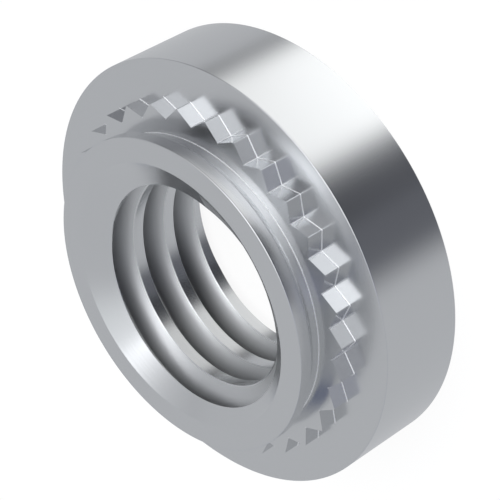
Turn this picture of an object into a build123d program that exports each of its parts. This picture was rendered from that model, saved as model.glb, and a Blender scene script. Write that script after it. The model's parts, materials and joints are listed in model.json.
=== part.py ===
from build123d import *

import os
from math import cos, pi, radians, sin, tan

# A self-clinching nut for M5 screws, turned and knurled from one piece of steel.
# It is pressed into a 6.4 mm hole in sheet metal. The knurl bites into the sheet,
# and the sheet flows into the undercut behind the pilot and holds the nut.
# Lengths are in millimetres. The nut stands on its flat back, which is z = 0,
# and its pilot points up along +Z. One knurl tooth points along +X.

# Head
head_diameter = 8.64
head_thickness = 1.83
head_edge_radius = 0.04

# Knurl: a ring of straight V teeth that stands on the front of the head
knurl_teeth = 31
knurl_tip_diameter = 7.15
knurl_root_diameter = 6.61
knurl_height = 0.34

# Undercut: a groove that narrows the shank right above the knurl. It has a
# straight floor, then a slope that widens to the pilot.
undercut_diameter = 6.01
undercut_floor_height = 0.155
undercut_slope_height = 0.215

# Pilot: the end of the shank that guides the nut into the hole in the sheet
pilot_diameter = 6.33
shank_length = 0.97
pilot_edge_radius = 0.03

# Bore: drilled to the thread's minor diameter, with a shallow countersink at each end
bore_diameter = 4.24
countersink_angle = 120.0
front_countersink_diameter = 5.36
back_countersink_diameter = 4.86

# Thread: M5 x 0.8, right-handed, a helical groove in the wall of the bore. The wall
# that is left between two turns is the flat crest, and the groove's root is flat too.
# The crest height is that of the middle of a crest above the back, at +X.
thread_pitch = 0.8
thread_angle = 60.0
thread_crest_width = 0.3
thread_root_width = 0.1
thread_crest_height = 0.891

head_radius = head_diameter / 2
pilot_radius = pilot_diameter / 2
undercut_radius = undercut_diameter / 2
bore_radius = bore_diameter / 2

# Heights of the steps, counted up from the back
knurl_top = head_thickness + knurl_height
undercut_floor_top = knurl_top + undercut_floor_height
undercut_top = undercut_floor_top + undercut_slope_height
nut_length = head_thickness + shank_length

# How near an edge's radius and height must be to the ones it is picked by
match_tolerance = 1e-6


def circles(builder, radius, heights):
    """Pick the circular edges of one radius at the given heights."""
    return [
        edge
        for edge in builder.edges().filter_by(GeomType.CIRCLE)
        if abs(edge.radius - radius) < match_tolerance
        and any(abs(edge.arc_center.Z - height) < match_tolerance for height in heights)
    ]


def turned_blank():
    """Turn the outside: head, knurl seat, undercut and pilot, in one section."""
    knurl_root_radius = knurl_root_diameter / 2
    section = [
        (0, 0),
        (head_radius, 0),
        (head_radius, head_thickness),
        (knurl_root_radius, head_thickness),
        (knurl_root_radius, knurl_top),
        (undercut_radius, knurl_top),
        (undercut_radius, undercut_floor_top),
        (pilot_radius, undercut_top),
        (pilot_radius, nut_length),
        (0, nut_length),
    ]
    with BuildPart() as blank:
        with BuildSketch(Plane.XZ):
            with BuildLine():
                Polyline(*section, close=True)
            make_face()
        revolve(axis=Axis.Z)
        fillet(circles(blank, head_radius, (0, head_thickness)), head_edge_radius)
        fillet(circles(blank, pilot_radius, (nut_length,)), pilot_edge_radius)
    return blank.part


def knurl_ring():
    """The star of V teeth: each flank is one flat face along the axis."""
    half_pitch = pi / knurl_teeth
    outline = []
    for tooth in range(knurl_teeth):
        tip_angle = 2 * tooth * half_pitch
        for diameter, angle in (
            (knurl_tip_diameter, tip_angle),
            (knurl_root_diameter, tip_angle + half_pitch),
        ):
            outline.append((diameter / 2 * cos(angle), diameter / 2 * sin(angle)))
    with BuildPart() as ring:
        with BuildSketch(Plane.XY.offset(head_thickness)):
            with BuildLine():
                Polyline(*outline, close=True)
            make_face()
        extrude(amount=knurl_height)
    return ring.part


def countersink_depth(mouth_diameter):
    """How far a countersink reaches in from its face before it meets the bore."""
    return (mouth_diameter - bore_diameter) / 2 / tan(radians(countersink_angle / 2))


def countersink(mouth_diameter, face_height, inward):
    """A cone from the mouth on a face down to the wall of the bore."""
    depth = countersink_depth(mouth_diameter)
    with BuildPart() as cone:
        with BuildSketch(Plane.XZ):
            with BuildLine():
                Polyline(
                    (0, face_height),
                    (mouth_diameter / 2, face_height),
                    (bore_radius, face_height + inward * depth),
                    (0, face_height + inward * depth),
                    close=True,
                )
            make_face()
        revolve(axis=Axis.Z)
    return cone.part


def thread_groove():
    """The helical groove, from below the back to above the front.

    Its section reaches a little way in past the wall of the bore, half as far as it
    could before neighbouring turns met.
    """
    flank_slope = tan(radians(thread_angle / 2))
    mouth_half = (thread_pitch - thread_crest_width) / 2
    root_half = thread_root_width / 2
    depth = (mouth_half - root_half) / flank_slope
    reach = thread_crest_width / 4 / flank_slope
    start = thread_crest_height - 2.5 * thread_pitch
    turns_height = nut_length + 3 * thread_pitch
    with BuildPart() as groove:
        with BuildSketch(Plane.XZ):
            with BuildLine():
                Polyline(
                    (bore_radius - reach, start - mouth_half - reach * flank_slope),
                    (bore_radius + depth, start - root_half),
                    (bore_radius + depth, start + root_half),
                    (bore_radius - reach, start + mouth_half + reach * flank_slope),
                    close=True,
                )
            make_face()
        sweep(
            path=Helix(thread_pitch, turns_height, bore_radius, center=(0, 0, start)),
            is_frenet=True,
        )
    return groove.part


def self_clinching_nut():
    """Fuse the knurl to the blank, cut the thread, then drill and countersink the bore.

    The groove is cut while the blank is still solid, and the drill leaves its crests.
    """
    with BuildPart() as nut:
        add(turned_blank())
        add(knurl_ring())
        add(thread_groove(), mode=Mode.SUBTRACT)
        Hole(bore_radius)
        add(countersink(front_countersink_diameter, nut_length, -1), mode=Mode.SUBTRACT)
        add(countersink(back_countersink_diameter, 0, 1), mode=Mode.SUBTRACT)
    return nut.part


nut = self_clinching_nut()
nut.label = "nut"
os.makedirs("parts", exist_ok=True)
export_step(nut, "parts/nut.step")

wall_start = countersink_depth(back_countersink_diameter)
wall_end = nut_length - countersink_depth(front_countersink_diameter)
print("nut length", round(nut_length, 4))
print("pilot wall from", round(undercut_top, 4), "to", round(nut_length - pilot_edge_radius, 4))
print("bore wall from", round(wall_start, 4), "to", round(wall_end, 4))
print("volume", round(nut.volume, 3), "solids", len(nut.solids()), "valid", nut.is_valid)
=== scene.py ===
# %% [markdown]
# # A self-clinching nut in bright plated steel
#
# This nut is pressed into a 6.4 mm hole in sheet metal. A ring of V teeth, the knurl, bites into the
# sheet and stops the nut from turning. The sheet flows into the undercut above the teeth and stops it
# from falling out. The short pilot at the end centres it in the hole.
#
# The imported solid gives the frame: its size, its place and its mounts. Its mesh is coarse and its
# edges are plain, so the nut is modelled here once more, inside the same sizes, with the thread's
# narrow crest, the small radii that catch the light, the finish and the studio.

# %% Load the frame
import json
from math import atan2, cos, hypot, pi, radians, sin, tan

import bmesh
import bpy
from mathutils import Matrix, Vector


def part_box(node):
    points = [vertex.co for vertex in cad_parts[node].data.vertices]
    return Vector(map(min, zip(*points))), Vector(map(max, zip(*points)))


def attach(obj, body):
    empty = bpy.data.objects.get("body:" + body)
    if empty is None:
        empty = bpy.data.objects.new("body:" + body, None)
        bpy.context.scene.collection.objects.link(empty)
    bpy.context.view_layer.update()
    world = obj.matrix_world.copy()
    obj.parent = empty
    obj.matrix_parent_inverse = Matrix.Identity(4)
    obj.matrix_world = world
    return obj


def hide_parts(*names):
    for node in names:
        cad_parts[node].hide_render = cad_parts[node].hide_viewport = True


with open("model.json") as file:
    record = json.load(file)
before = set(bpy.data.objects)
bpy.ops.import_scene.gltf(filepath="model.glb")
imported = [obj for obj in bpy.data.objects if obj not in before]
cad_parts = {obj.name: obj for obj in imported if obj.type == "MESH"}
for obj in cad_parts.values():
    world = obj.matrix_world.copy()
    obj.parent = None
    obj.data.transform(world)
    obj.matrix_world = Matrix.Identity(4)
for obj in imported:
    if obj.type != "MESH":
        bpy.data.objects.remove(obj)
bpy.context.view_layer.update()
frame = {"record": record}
nut_low, nut_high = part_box("nut")
mounts = {mount["name"]: mount for mount in frame["record"]["mounts"]}
print("nut box in metres", [round(v, 6) for v in (*nut_low, *nut_high)])
print("mounts", sorted(mounts))

# %% [markdown]
# ## One unit to the millimetre
#
# Blender merges points that are closer than a tenth of a millimetre, which is too coarse for a nut
# that is 9 mm across. So the nut is modelled a thousand times as large, with one unit to the
# millimetre, and the finished mesh is shrunk once at the end. The sizes that the frame knows are read
# from it, and the others are written here as they would stand on the drawing.

# %% Sizes on the drawing, in millimetres
UNITS_PER_METRE = 1000

head_radius = nut_high.x * UNITS_PER_METRE
nut_length = nut_high.z * UNITS_PER_METRE
head_thickness = mounts["sheet_seat"]["pos_m"][2] * UNITS_PER_METRE
pilot_radius = mounts["pilot"]["dims"]["r_mm"]
bore_radius = mounts["thread"]["dims"]["r_mm"]

knurl_teeth = 31
knurl_tip_radius = 7.15 / 2
knurl_root_radius = 6.61 / 2
knurl_height = 0.34
undercut_radius = 6.01 / 2
undercut_floor_height = 0.155
undercut_slope_height = 0.215
front_mouth_radius = 5.36 / 2
back_mouth_radius = 4.86 / 2
countersink_angle = radians(120)

knurl_top = head_thickness + knurl_height
undercut_floor_top = knurl_top + undercut_floor_height
undercut_top = undercut_floor_top + undercut_slope_height
print("head", round(2 * head_radius, 3), "x", round(head_thickness, 3), "length", round(nut_length, 3))

# %% [markdown]
# ## Picking points and edges in code
#
# By hand, the next steps would be clicks: select a ring, extrude it, scale it. A script has to say
# which ring it means, so it picks points by their distance from the axis and their height. In edit
# mode an operator takes its selection from the edit mesh, so the helpers set it there.

# %% Small helpers for work in edit mode
NEAR = 1e-4


def deselect_everything():
    """Operators act on all that is selected, and the frame's own nodes start out selected."""
    if bpy.context.mode != "OBJECT":
        bpy.ops.object.mode_set(mode="OBJECT")
    bpy.ops.object.select_all(action="DESELECT")


def edit_mesh():
    return bmesh.from_edit_mesh(bpy.context.edit_object.data)


def select_points(wanted):
    """Select the points for which wanted(point) holds, and the edges and faces between them."""
    points = edit_mesh()
    for element in (*points.verts, *points.edges, *points.faces):
        element.select = False
    for point in points.verts:
        point.select = wanted(point)
    points.select_flush_mode()
    bmesh.update_edit_mesh(bpy.context.edit_object.data)


def select_edges(wanted):
    """Select the edges for which wanted(edge) holds, and nothing else."""
    bpy.ops.mesh.select_mode(type="EDGE")
    points = edit_mesh()
    for element in (*points.verts, *points.edges, *points.faces):
        element.select = False
    for edge in points.edges:
        edge.select_set(wanted(edge))
    bmesh.update_edit_mesh(bpy.context.edit_object.data)
    return sum(edge.select for edge in points.edges)


def radius_of(point):
    return hypot(point.co.x, point.co.y)


def at_ring(point, radius, height):
    return abs(radius_of(point) - radius) < NEAR and abs(point.co.z - height) < NEAR


def apply_modifier(obj, kind, name, **settings):
    """Add a modifier, set it and apply it at once."""
    modifier = obj.modifiers.new(name, kind)
    for key, value in settings.items():
        setattr(modifier, key, value)
    bpy.context.view_layer.objects.active = obj
    bpy.ops.object.modifier_apply(modifier=name)


# %% [markdown]
# ## The blank, turned ring by ring
#
# On a lathe the outside of the nut is one section spun round the bore. In Blender the same form grows
# from one circle: the ring of edges is extruded and scaled, again and again, along the section. Every
# ring has the same number of points, twelve to a tooth, so that the round parts and the knurl share
# one clean grid of four-sided faces and nothing has to be joined later.
#
# The teeth come from the same rings. A flank is a straight line from a tip to a valley, so each point
# between them has its own radius. All points at the same place within a tooth are scaled together,
# which turns a round ring into the star and back.


# %% Radii of the points along one flank
STEPS_PER_FLANK = 6
RING_POINTS = 2 * STEPS_PER_FLANK * knurl_teeth


def flank_radius(step):
    """Radius of the point that is so many steps from a tip, on the straight flank to the valley."""
    half_tooth = pi / knurl_teeth
    angle = half_tooth * step / STEPS_PER_FLANK
    tip = Vector((knurl_tip_radius, 0))
    valley = knurl_root_radius * Vector((cos(half_tooth), sin(half_tooth)))
    flank = valley - tip
    return (tip.x * flank.y - tip.y * flank.x) / (cos(angle) * flank.y - sin(angle) * flank.x)


star_radii = [flank_radius(step) for step in range(STEPS_PER_FLANK + 1)]
print("flank radii", [round(radius, 3) for radius in star_radii])


# %% Growing rings
NO_CHANGE = 1e-9


def step_in_tooth(point):
    """How many steps a point lies from the nearest tooth tip, counted round the axis."""
    place = round(atan2(point.co.y, point.co.x) / (2 * pi) * RING_POINTS) % (2 * STEPS_PER_FLANK)
    return min(place, 2 * STEPS_PER_FLANK - place)


def round_ring(radius):
    return [radius] * (STEPS_PER_FLANK + 1)


def next_ring(last, radii, height):
    """Extrude the selected ring to a height, then scale each set of its points to its radius."""
    rise = height - last["height"]
    bpy.ops.mesh.extrude_edges_move(TRANSFORM_OT_translate={"value": (0, 0, rise)})
    ring_points = {point.index: step_in_tooth(point) for point in edit_mesh().verts if point.select}
    for step in range(STEPS_PER_FLANK + 1):
        factor = radii[step] / last["radii"][step]
        if abs(factor - 1) < NO_CHANGE:
            continue
        select_points(lambda point: ring_points.get(point.index) == step)
        bpy.ops.transform.resize(value=(factor, factor, 1), center_override=(0, 0, height))
    select_points(lambda point: point.index in ring_points)
    return {"radii": radii, "height": height}


# %% Section of the blank, from the back round to the drilled hole
# The hole is narrower than the bore, and the tap opens it up to size.
drilled_radius = 1.5

blank_section = [
    (round_ring(head_radius), 0),
    (round_ring(head_radius), head_thickness),
    (star_radii, head_thickness),
    (star_radii, knurl_top),
    (round_ring(undercut_radius), knurl_top),
    (round_ring(undercut_radius), undercut_floor_top),
    (round_ring(pilot_radius), undercut_top),
    (round_ring(pilot_radius), nut_length),
    (round_ring(drilled_radius), nut_length),
    (round_ring(drilled_radius), 0),
]
print("section", len(blank_section), "rings of", RING_POINTS, "points")

# %% Turn the blank
deselect_everything()
bpy.ops.mesh.primitive_circle_add(vertices=RING_POINTS, radius=drilled_radius, location=(0, 0, 0))
nut = bpy.context.object
nut.name = "clinch_nut"
nut.data.name = "clinch_nut"
bpy.ops.object.mode_set(mode="EDIT")
bpy.ops.mesh.select_mode(type="VERT")
ring = {"radii": round_ring(drilled_radius), "height": 0}
for radii, height in blank_section:
    ring = next_ring(ring, radii, height)
bpy.ops.mesh.select_all(action="SELECT")
bpy.ops.mesh.remove_doubles(threshold=NEAR)
bpy.ops.mesh.normals_make_consistent(inside=False)
bpy.ops.object.mode_set(mode="OBJECT")
print("blank", len(nut.data.vertices), "points", len(nut.data.polygons), "faces")

# %% [markdown]
# ## Small radii that catch the light
#
# No edge of a turned part is perfectly sharp. A radius of a few hundredths of a millimetre turns
# through all directions at once, so somewhere in it there is always a highlight, and the eye reads it
# as a fine bright line. The tips of the teeth have such radii, and so do the inner corners: at the
# foot of each tooth, down each valley and where the shank leaves the knurl. A bevel on just these
# edges gives them. It puts the inner corners' new faces in a material slot of their own, whose paler
# colour is a painted highlight that shows them as light lines from every side.

# %% One material slot for each finish
FINISH_SLOTS = PLATED, INNER_CORNER, TAPPED = 0, 1, 2


def add_finish_slots():
    """Give the active object an empty slot for each finish."""
    for _ in FINISH_SLOTS:
        bpy.ops.object.material_slot_add()


# %% Bevel the chosen edges
ROUND_STEPS = 4


def bevel_edges(wanted, width, slot=PLATED):
    """Round the edges for which wanted(edge) holds, in the finish of one material slot."""
    count = select_edges(wanted)
    bpy.ops.mesh.bevel(
        offset=width, segments=ROUND_STEPS, affect="EDGES", clamp_overlap=True, material=slot
    )
    return count


def on_ring(edge, radius, height):
    return all(at_ring(point, radius, height) for point in edge.verts)


def at_tooth_foot(edge):
    return all(
        abs(point.co.z - head_thickness) < NEAR and radius_of(point) < knurl_tip_radius + NEAR
        for point in edge.verts
    )


def up_the_teeth(edge, radius):
    """Whether the edge runs from the foot to the top of the teeth, at this radius."""
    low, high = sorted(edge.verts, key=lambda point: point.co.z)
    return at_ring(low, radius, head_thickness) and at_ring(high, radius, knurl_top)


# %% Round the tips, the inner corners and the rims
head_edge_radius = 0.015
pilot_edge_radius = 0.018
tip_radius = 0.02
corner_radius = 0.016

deselect_everything()
bpy.context.view_layer.objects.active = nut
add_finish_slots()
bpy.ops.object.mode_set(mode="EDIT")
tips = bevel_edges(lambda edge: up_the_teeth(edge, knurl_tip_radius), tip_radius)
# The inner corners get a slot of their own, and its paler colour paints a highlight line along them.
corners = bevel_edges(
    lambda edge: at_tooth_foot(edge)
    or up_the_teeth(edge, knurl_root_radius)
    or on_ring(edge, undercut_radius, knurl_top),
    corner_radius,
    slot=INNER_CORNER,
)
head_edges = bevel_edges(
    lambda edge: on_ring(edge, head_radius, 0) or on_ring(edge, head_radius, head_thickness),
    head_edge_radius,
)
pilot_edges = bevel_edges(lambda edge: on_ring(edge, pilot_radius, nut_length), pilot_edge_radius)
bpy.ops.object.mode_set(mode="OBJECT")
print("rounded edges: tips", tips, "corners", corners, "head", head_edges, "pilot", pilot_edges)

# %% [markdown]
# ## Tapping the thread
#
# The thread is cut as the workshop cuts it, with a tap. One turn's outline of the tap is drawn as a
# line: a straight stretch that leaves the flat crest of the nut's thread, then a V with its point
# rounded. The Screw modifier sweeps the line round the axis and lifts it by one pitch in each turn.
# Bisect trims the two ragged ends and closes them, and an exact Boolean takes the tap out of the
# blank. Cones for the two countersinks follow in the same way. The tap's faces carry the thread's
# finish, and the cut hands it on to the nut.

# %% Sizes of the thread
pitch = 0.8
crest_land = 0.2256
flank_angle = radians(30)
groove_depth = (pitch - crest_land) / 2 / tan(flank_angle)
root_width = 0.07
root_steps = 10
print("groove", round(groove_depth, 3), "mm deep before its root is rounded")

# The turns are set by one point on the lower edge of a crest: its angle and its height
land_edge_angle = radians(72.494)
land_edge_height = 1.739

# %% The tap's outline over one pitch
# A tiny plane, merged to one point on the wall of the bore, starts the line.
seed_size = 0.01

deselect_everything()
bpy.ops.mesh.primitive_plane_add(size=seed_size, location=(bore_radius, 0, 0))
tap = bpy.context.object
tap.name = "tap"
bpy.ops.object.transform_apply(location=True)
bpy.ops.object.mode_set(mode="EDIT")
bpy.ops.mesh.select_mode(type="VERT")
bpy.ops.mesh.select_all(action="SELECT")
bpy.ops.mesh.merge(type="CENTER")
for step in (
    (0, 0, crest_land),
    (groove_depth, 0, (pitch - crest_land) / 2),
    (-groove_depth, 0, (pitch - crest_land) / 2),
):
    bpy.ops.mesh.extrude_vertices_move(TRANSFORM_OT_translate={"value": step})
select_points(lambda point: point.co.x > bore_radius + NEAR)
bpy.ops.mesh.bevel(offset=root_width, segments=root_steps, affect="VERTICES")
print("tap outline", len(edit_mesh().verts), "points over", pitch, "mm")

# %% Put it at the height of the photo's thread, a few turns below the nut
turns_below = 4

bpy.ops.mesh.select_all(action="SELECT")
first_height = land_edge_height - pitch * (land_edge_angle / (2 * pi) + turns_below)
lowest = min(point.co.z for point in edit_mesh().verts)
bpy.ops.transform.translate(value=(0, 0, first_height - lowest))
bpy.ops.object.mode_set(mode="OBJECT")

# %% Sweep it into a tap
tap_turns = 8

apply_modifier(
    tap,
    "SCREW",
    "Turns",
    axis="Z",
    angle=2 * pi,
    screw_offset=pitch,
    iterations=tap_turns,
    steps=RING_POINTS,
    render_steps=RING_POINTS,
)

# %% Join the turns and trim the ends
tap_overrun = 0.4

bpy.ops.object.mode_set(mode="EDIT")
bpy.ops.mesh.select_all(action="SELECT")
bpy.ops.mesh.remove_doubles(threshold=NEAR)
for cut_height, side in ((-tap_overrun, -1), (nut_length + tap_overrun, 1)):
    bpy.ops.mesh.select_all(action="SELECT")
    bpy.ops.mesh.bisect(
        plane_co=(0, 0, cut_height),
        plane_no=(0, 0, side),
        use_fill=True,
        clear_outer=True,
        threshold=NEAR,
    )
bpy.ops.mesh.select_all(action="SELECT")
bpy.ops.mesh.normals_make_consistent(inside=False)
open_edges = sum(not edge.is_manifold for edge in edit_mesh().edges)
bpy.ops.object.mode_set(mode="OBJECT")
add_finish_slots()
for face in tap.data.polygons:
    face.material_index = TAPPED
print("tap", len(tap.data.polygons), "faces,", open_edges, "open edges")


# %% Cones for the countersinks
cone_reach = 0.25
cone_end_radius = 1.0


def countersink_cutter(name, mouth_radius, face_height, outward):
    """A closed cone that is as wide as the mouth at the face and grows away from the nut."""
    slope = tan(countersink_angle / 2)
    depth = (mouth_radius - cone_end_radius) / slope
    wide = mouth_radius + cone_reach * slope
    deselect_everything()
    bpy.ops.mesh.primitive_cone_add(
        vertices=RING_POINTS,
        radius1=cone_end_radius if outward > 0 else wide,
        radius2=wide if outward > 0 else cone_end_radius,
        depth=depth + cone_reach,
        location=(0, 0, face_height + outward * (cone_reach - depth) / 2),
    )
    cutter = bpy.context.object
    cutter.name = name
    bpy.ops.object.transform_apply(location=True)
    return cutter


front_cone = countersink_cutter("front_cone", front_mouth_radius, nut_length, 1)
back_cone = countersink_cutter("back_cone", back_mouth_radius, 0, -1)

# %% Cut the bore
deselect_everything()
for cutter in (tap, front_cone, back_cone):
    apply_modifier(nut, "BOOLEAN", "Cut", operation="DIFFERENCE", solver="EXACT", object=cutter)
    bpy.data.objects.remove(cutter)
print("after the cuts", len(nut.data.polygons), "faces")

# %% [markdown]
# ## Cleaning up and going to metres
#
# Exact cuts leave tiny edges where two cutters meet, and in a mirror finish they would show as nicks,
# so the points there are merged. Shade Smooth by Angle then blends the round walls and keeps the real
# edges sharp, and weighted normals keep the flat faces flat right up to their bevels. At the end the
# nut is scaled down to metres and the scale is applied, so that its object sits at the origin,
# unturned and unscaled, as the frame's own nodes do.

# %% Clean the mesh
deselect_everything()
bpy.context.view_layer.objects.active = nut
bpy.ops.object.mode_set(mode="EDIT")
bpy.ops.mesh.select_all(action="SELECT")
bpy.ops.mesh.remove_doubles(threshold=NEAR)
bpy.ops.mesh.dissolve_degenerate(threshold=NEAR)
bpy.ops.mesh.select_all(action="SELECT")
bpy.ops.mesh.normals_make_consistent(inside=False)
open_edges = sum(not edge.is_manifold for edge in edit_mesh().edges)
bpy.ops.object.mode_set(mode="OBJECT")
print("nut", len(nut.data.vertices), "points", len(nut.data.polygons), "faces", open_edges, "open edges")

# %% Smooth the shading and shrink the nut to metres
smooth_angle = radians(25)
large_faces_first = 100

nut.select_set(True)
bpy.ops.object.shade_smooth_by_angle(angle=smooth_angle)
apply_modifier(
    nut,
    "WEIGHTED_NORMAL",
    "Flat faces stay flat",
    mode="FACE_AREA",
    weight=large_faces_first,
    keep_sharp=True,
)
nut.scale = (1 / UNITS_PER_METRE,) * 3
bpy.ops.object.transform_apply(scale=True)
print("size in mm", [round(UNITS_PER_METRE * v, 3) for v in nut.dimensions])

# %% [markdown]
# ## Finish: bright plated steel
#
# The nut is steel with a thin bright plating. A plating has no texture of its own: it follows the
# turned surface under it and is almost a mirror, a little blurred. It is never quite even, so a soft
# cloud pattern a few millimetres across varies the blur, and faint rings round the axis, left by the
# lathe, tilt the surface by a hair. Both read the object's own coordinates, so they stay with the nut.

# %% Helpers for the metal finishes
def new_metal(name, colour, roughness):
    """A bare metal material, and its nodes, links and shader."""
    material = bpy.data.materials.new(name)
    material.use_nodes = True
    nodes, links = material.node_tree.nodes, material.node_tree.links
    shader = nodes["Principled BSDF"]
    shader.inputs["Metallic"].default_value = 1.0
    shader.inputs["Base Color"].default_value = colour
    shader.inputs["Roughness"].default_value = roughness
    return material, nodes, links, shader


def distance_from_axis(nodes, links):
    """How far a point of the surface lies from the nut's axis, in metres."""
    flatten = nodes.new("ShaderNodeVectorMath")
    flatten.operation = "MULTIPLY"
    flatten.inputs[1].default_value = (1, 1, 0)
    length = nodes.new("ShaderNodeVectorMath")
    length.operation = "LENGTH"
    links.new(nodes.new("ShaderNodeTexCoord").outputs["Object"], flatten.inputs[0])
    links.new(flatten.outputs["Vector"], length.inputs[0])
    return length.outputs["Value"]


# %% Plating with a cloudy blur
plating_colour = (0.66, 0.67, 0.68, 1)
even_roughness = 0.17
dull_roughness = 0.23
cloud_size = 2.5
cloud_detail = 2

plated, nodes, links, shader = new_metal("bright_plated_steel", plating_colour, even_roughness)
clouds = nodes.new("ShaderNodeTexNoise")
clouds.inputs["Scale"].default_value = UNITS_PER_METRE / cloud_size
clouds.inputs["Detail"].default_value = cloud_detail
blur = nodes.new("ShaderNodeMapRange")
blur.inputs["To Min"].default_value = even_roughness
blur.inputs["To Max"].default_value = dull_roughness
links.new(nodes.new("ShaderNodeTexCoord").outputs["Object"], clouds.inputs["Vector"])
links.new(clouds.outputs["Fac"], blur.inputs["Value"])
links.new(blur.outputs["Result"], shader.inputs["Roughness"])
print("roughness", even_roughness, "to", dull_roughness)

# %% Faint rings from the lathe
ring_spacing = 0.05
ring_strength = 0.02
ring_depth = 0.01

lathe_rings = nodes.new("ShaderNodeTexNoise")
lathe_rings.noise_dimensions = "1D"
lathe_rings.inputs["Scale"].default_value = UNITS_PER_METRE / ring_spacing
tilt = nodes.new("ShaderNodeBump")
tilt.inputs["Strength"].default_value = ring_strength
tilt.inputs["Distance"].default_value = ring_depth / UNITS_PER_METRE
links.new(distance_from_axis(nodes, links), lathe_rings.inputs["W"])
links.new(lathe_rings.outputs["Fac"], tilt.inputs["Height"])
links.new(tilt.outputs["Normal"], shader.inputs["Normal"])

# %% [markdown]
# ## Inner corners and the thread
#
# The small radii in the inner corners are paler than the faces, a painted highlight that shows them
# as fine light lines from every side, and they are more blurred. The tap leaves a rougher surface than
# the drill, so the blur grows at once where the flat crest ends. Towards the bottom of the groove the
# metal is painted darker, a painted shade for the deep recess. Both follow from the distance to the
# axis, which needs no texture painting or unwrapping.

# %% Finish of the inner corners, whose paler colour is a painted highlight
# Paler than the plating: this colour is a painted highlight along the inner corners.
inner_corner_highlight_colour = (0.88, 0.89, 0.9, 1)
corner_roughness = 0.45
corner = new_metal("inner_corner_painted_highlight", inner_corner_highlight_colour, corner_roughness)[0]

# %% Sizes of the thread's finish
crest_roughness = 0.2
groove_roughness = 0.37
rough_from = bore_radius + 0.005
rough_to = bore_radius + 0.05
# Painted shade: the metal is painted darker towards the root of the groove, where the recess is shaded.
groove_shade_colour = (0.46, 0.465, 0.47, 1)
groove_shade_from = bore_radius + 0.2
groove_shade_to = bore_radius + 0.45


def between_radii(nodes, links, start, end, at_start, at_end):
    """A value that goes from at_start to at_end between two distances from the axis."""
    ramp = nodes.new("ShaderNodeMapRange")
    ramp.inputs["From Min"].default_value = start / UNITS_PER_METRE
    ramp.inputs["From Max"].default_value = end / UNITS_PER_METRE
    ramp.inputs["To Min"].default_value = at_start
    ramp.inputs["To Max"].default_value = at_end
    links.new(distance_from_axis(nodes, links), ramp.inputs["Value"])
    return ramp.outputs["Result"]


# %% Finish of the tapped thread, with painted shade towards the groove's root
tapped, nodes, links, shader = new_metal("tapped_steel", plating_colour, crest_roughness)
painted_groove_shade = between_radii(nodes, links, groove_shade_from, groove_shade_to, 0, 1)
roughening = between_radii(nodes, links, rough_from, rough_to, crest_roughness, groove_roughness)
# This mix paints the shade into the colour, from the plating colour at the crest to the darker root.
plating = nodes.new("ShaderNodeMix")
plating.data_type = "RGBA"
plating.inputs["A"].default_value = plating_colour
plating.inputs["B"].default_value = groove_shade_colour
links.new(painted_groove_shade, plating.inputs["Factor"])
links.new(plating.outputs["Result"], shader.inputs["Base Color"])
links.new(roughening, shader.inputs["Roughness"])

# %% Put the finishes on the nut and tie it to the frame
for slot, material in ((PLATED, plated), (INNER_CORNER, corner), (TAPPED, tapped)):
    nut.material_slots[slot].material = material
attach(nut, "root")
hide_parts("nut")
face_counts = [sum(face.material_index == slot for face in nut.data.polygons) for slot in FINISH_SLOTS]
print("faces plated, in inner corners and tapped", face_counts)

# %% [markdown]
# ## The camera
#
# The nut stands on its flat back, as it would on a bench. In the photo it seems to stand on its rim,
# because the picture is turned, so the camera is rolled by that angle. It looks at a point inside the
# nut from a few nut lengths away through a long lens, which keeps the circles close to ellipses. Its
# place was found from the outlines of the head, the knurl and the pilot.

# %% Camera
MM = 1 / UNITS_PER_METRE
camera_azimuth = radians(-89.024)
camera_elevation = radians(35.380)
camera_roll = radians(-120)
camera_distance = 38.164 * MM
camera_aim = Vector((0.092, -0.8014, 1.4)) * MM
camera_lens = 148.865
nearest_seen, furthest_seen = 0.001, 10

outward = Vector((
    cos(camera_elevation) * cos(camera_azimuth),
    cos(camera_elevation) * sin(camera_azimuth),
    sin(camera_elevation),
))
turn = Matrix.Rotation(camera_azimuth + pi / 2, 4, "Z")
tip_down = Matrix.Rotation(pi / 2 - camera_elevation, 4, "X")
roll = Matrix.Rotation(camera_roll, 4, "Z")
deselect_everything()
bpy.ops.object.camera_add(location=camera_aim + camera_distance * outward)
camera = bpy.context.object
camera.rotation_euler = (turn @ tip_down @ roll).to_euler()
camera.data.lens = camera_lens
camera.data.clip_start = nearest_seen
camera.data.clip_end = furthest_seen
bpy.context.scene.camera = camera
print("camera at", [round(v / MM, 2) for v in camera.location], "mm")
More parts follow.
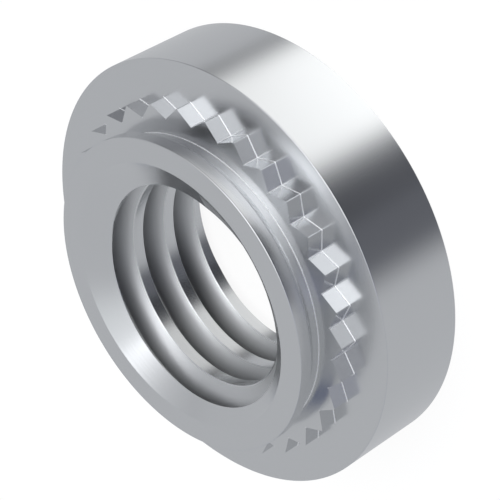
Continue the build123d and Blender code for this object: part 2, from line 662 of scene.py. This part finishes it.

# %% [markdown]
# ## The studio that the plating mirrors
#
# A mirror has no look of its own, so the bright and dark bands on the nut are pictures of the room.
# The room here is a grey tent with soft-edged cards in it, as a product photographer would hang them:
# a large screen above and one below on the same side, with a dark gap between them, a black flag next
# to them, and a dim card beyond. A side strip and a lavender card light the flanks of the teeth, the
# ceiling is paler than the tent, and the rest of the horizon is dark. Real lamps would need a room to
# hang in, so each card is a patch of the world instead, given by its span of azimuth and elevation in
# degrees and laid over the ones before it. Camera rays see plain white, which the metal doesn't mirror.
#
# Most of these numbers weren't chosen by hand. For the tent and for every card but the side strip and
# the lavender one, a separate program fitted the spans, soft edges and colours to the photo's pixels.
# They were rounded after that, and some were then changed.

# %% Cards in the studio
tent_colour = (0.59, 0.6, 0.62)
studio_cards = (
    {
        "name": "ceiling",
        "azimuth": (-190, 190),
        "elevation": (76, 104),
        "soft": (15, 14),
        "colour": (0.8, 0.82, 0.84),
    },
    {
        "name": "upper screen",
        "azimuth": (-121, 2),
        "elevation": (35, 82),
        "soft": (46, 5),
        "colour": (2.6, 2.62, 2.68),
    },
    {
        "name": "lower screen",
        "azimuth": (-69, 0),
        "elevation": (-72, -14),
        "soft": (20, 7),
        "colour": (2.12, 2.13, 2.12),
    },
    {
        "name": "black flag",
        "azimuth": (-132, -77),
        "elevation": (-75, 44),
        "soft": (22, 38),
        "colour": (0.15, 0.155, 0.175),
    },
    {
        "name": "gap between the screens",
        "azimuth": (-101, 14),
        "elevation": (-35, 11),
        "soft": (8, 30),
        "colour": (0, 0, 0),
    },
    {
        "name": "dark horizon",
        "azimuth": (50, 310),
        "elevation": (-9, 1),
        "soft": (13, 5),
        "colour": (0.14, 0.17, 0.29),
    },
    {
        "name": "dim card",
        "azimuth": (-33, 28),
        "elevation": (-11, 51),
        "soft": (35, 5),
        "colour": (0.35, 0.355, 0.38),
    },
    {
        "name": "side strip",
        "azimuth": (-98, -8),
        "elevation": (12, 35),
        "soft": (6, 9),
        "colour": (1.02, 1.03, 1.05),
    },
    {
        "name": "lavender card",
        "azimuth": (-141, -117),
        "elevation": (12, 32),
        "soft": (12, 12),
        "colour": (0.55, 0.57, 0.78),
    },
)

print(len(studio_cards), "cards in the studio")

# %% The direction a ray looks in, as azimuth and elevation
world = bpy.data.worlds.new("studio")
world.use_nodes = True
bpy.context.scene.world = world
nodes, links = world.node_tree.nodes, world.node_tree.links


def calculate(operation, *values):
    """Add a Math node fed by sockets or plain numbers, and return its result."""
    node = nodes.new("ShaderNodeMath")
    node.operation = operation
    for socket, value in zip(node.inputs, values):
        if isinstance(value, (int, float)):
            socket.default_value = value
        else:
            links.new(value, socket)
    return node.outputs["Value"]


direction = nodes.new("ShaderNodeSeparateXYZ")
links.new(nodes.new("ShaderNodeTexCoord").outputs["Generated"], direction.inputs["Vector"])
azimuth_now = calculate("ARCTAN2", direction.outputs["Y"], direction.outputs["X"])
elevation_now = calculate("ARCSINE", direction.outputs["Z"])


# %% Lay one card over another
def inside_span(angle, span, softness):
    """A mask that is 1 within the span, given in degrees, and fades to 0 across its soft edge."""
    half_width, half_edge = radians(span[1] - span[0]) / 2, radians(softness) / 2
    away = calculate("SUBTRACT", angle, radians(sum(span) / 2))
    away = calculate("ABSOLUTE", calculate("WRAP", away, pi, -pi))
    fade = nodes.new("ShaderNodeMapRange")
    fade.interpolation_type = "SMOOTHSTEP"
    fade.inputs["From Min"].default_value = half_width + half_edge
    fade.inputs["From Max"].default_value = half_width - half_edge
    links.new(away, fade.inputs["Value"])
    return fade.outputs["Result"]


def lay_card(below, card):
    """Mix one card over the colour below it, or over the bare tent if there is none yet."""
    soft_azimuth, soft_elevation = card["soft"]
    across = inside_span(azimuth_now, card["azimuth"], soft_azimuth)
    up_and_down = inside_span(elevation_now, card["elevation"], soft_elevation)
    mix = nodes.new("ShaderNodeMix")
    mix.data_type = "RGBA"
    mix.label = card["name"]
    mix.inputs["B"].default_value = (*card["colour"], 1)
    links.new(calculate("MULTIPLY", across, up_and_down), mix.inputs["Factor"])
    if below is None:
        mix.inputs["A"].default_value = (*tent_colour, 1)
    else:
        links.new(below, mix.inputs["A"])
    return mix.outputs["Result"]


# %% Hang the cards, and show the camera plain white
WHITE = (1, 1, 1, 1)

seen_in_metal = None
for card in studio_cards:
    seen_in_metal = lay_card(seen_in_metal, card)

light_path = nodes.new("ShaderNodeLightPath")
backdrop = nodes.new("ShaderNodeMix")
backdrop.data_type = "RGBA"
backdrop.inputs["B"].default_value = WHITE
links.new(light_path.outputs["Is Camera Ray"], backdrop.inputs["Factor"])
links.new(seen_in_metal, backdrop.inputs["A"])
links.new(backdrop.outputs["Result"], nodes["Background"].inputs["Color"])
bpy.context.scene.view_settings.view_transform = "Standard"
print("world nodes", len(nodes))

# %% [markdown]
# ## The floor
#
# The nut stands on white paper. The paper glows just enough for the camera to see it as white, and a
# little of the studio's light is added on top, so a faint shadow stays where the nut stands. It is
# left out of the mirror images, as the cards below the horizon stand in for it there.

# %% Floor
floor_size = 4

deselect_everything()
bpy.ops.mesh.primitive_plane_add(size=floor_size)
floor = bpy.context.object
floor.name = "floor"
floor.visible_glossy = False
floor.visible_shadow = False

# %% White paper
paper_glow = 0.9
paper_colour = (0.12, 0.12, 0.12, 1)

paper = bpy.data.materials.new("white_paper")
paper.use_nodes = True
nodes, links = paper.node_tree.nodes, paper.node_tree.links
sheet = nodes["Principled BSDF"]
sheet.inputs["Base Color"].default_value = paper_colour
sheet.inputs["Roughness"].default_value = 1.0
sheet.inputs["Specular IOR Level"].default_value = 0.0
sheet.inputs["Emission Color"].default_value = WHITE
glow = nodes.new("ShaderNodeMath")
glow.operation = "MULTIPLY"
glow.inputs[1].default_value = paper_glow
links.new(nodes.new("ShaderNodeLightPath").outputs["Is Camera Ray"], glow.inputs[0])
links.new(glow.outputs["Value"], sheet.inputs["Emission Strength"])
floor.data.materials.append(paper)
